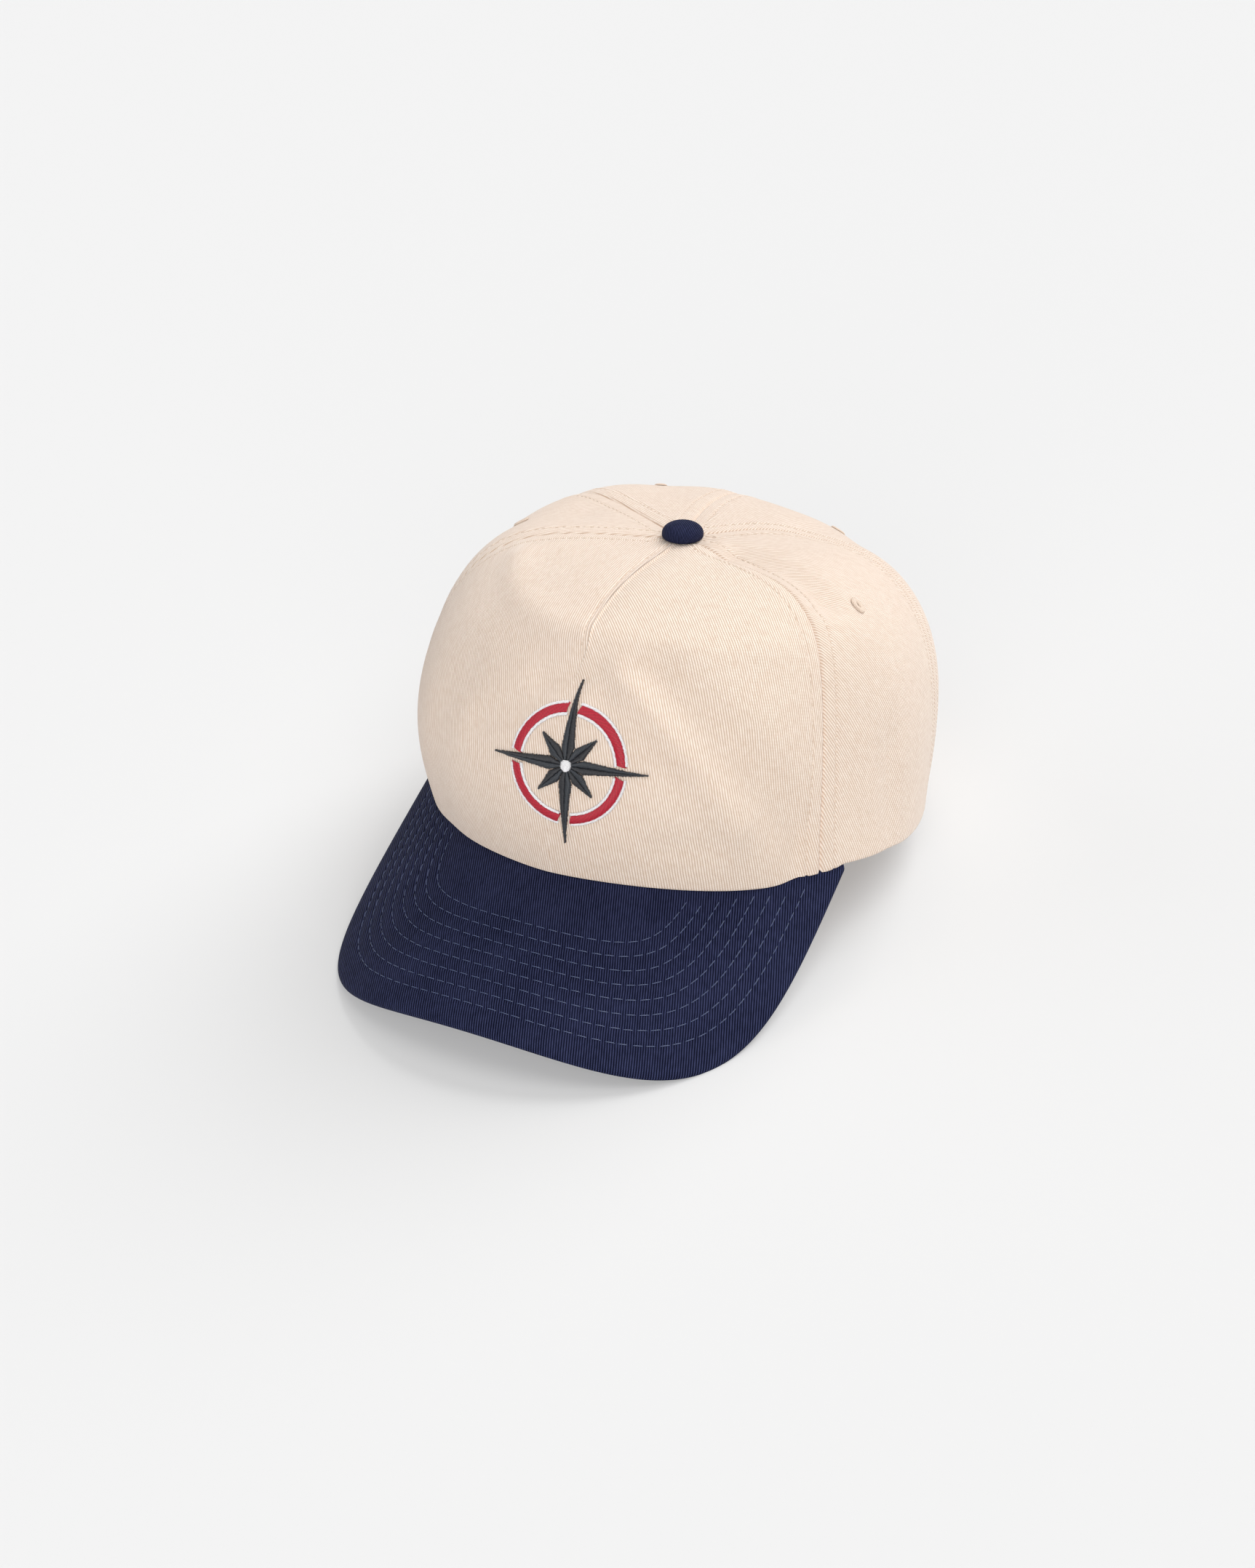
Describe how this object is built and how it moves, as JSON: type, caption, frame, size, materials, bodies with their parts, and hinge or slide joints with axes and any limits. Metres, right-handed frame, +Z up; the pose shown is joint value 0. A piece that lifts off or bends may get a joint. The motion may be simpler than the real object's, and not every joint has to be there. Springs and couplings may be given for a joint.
{
  "type": "baseball cap",
  "caption": "Cotton baseball cap with a curved stitched brim, covered top button, stitched eyelets, arched back with a closing band, and a star embroidered on the front.",
  "frame": {"origin": "on the table, under the middle of the cap's box", "axes": "+Z up from the table, the brim points along -Y, the wearer's left is +X"},
  "size_m": [0.1908, 0.2588, 0.1291],
  "materials": {
    "cream_twill": "cotton twill, matte",
    "navy_twill": "cotton twill, matte",
    "cream_thread": "cotton stitching",
    "navy_thread": "stitching thread",
    "charcoal_thread": "satin stitch",
    "grey_thread": "satin stitch",
    "red_thread": "satin stitch",
    "white_thread": "satin stitch"
  },
  "bodies": {
    "root": {"front_panel": "cream_twill", "left_side_panel": "cream_twill", "right_side_panel": "cream_twill", "left_back_panel": "cream_twill", "right_back_panel": "cream_twill", "back_strap": "cream_twill", "eyelet_left_side": "cream_thread", "eyelet_right_side": "cream_thread", "eyelet_left_back": "cream_thread", "eyelet_right_back": "cream_thread", "top_button": "navy_twill", "brim": "navy_twill", "emblem_star": "charcoal_thread", "emblem_arc_upper_left": "red_thread", "emblem_arc_lower_left": "red_thread", "emblem_arc_lower_right": "red_thread", "emblem_arc_upper_right": "red_thread"}
  },
  "joints": []
}
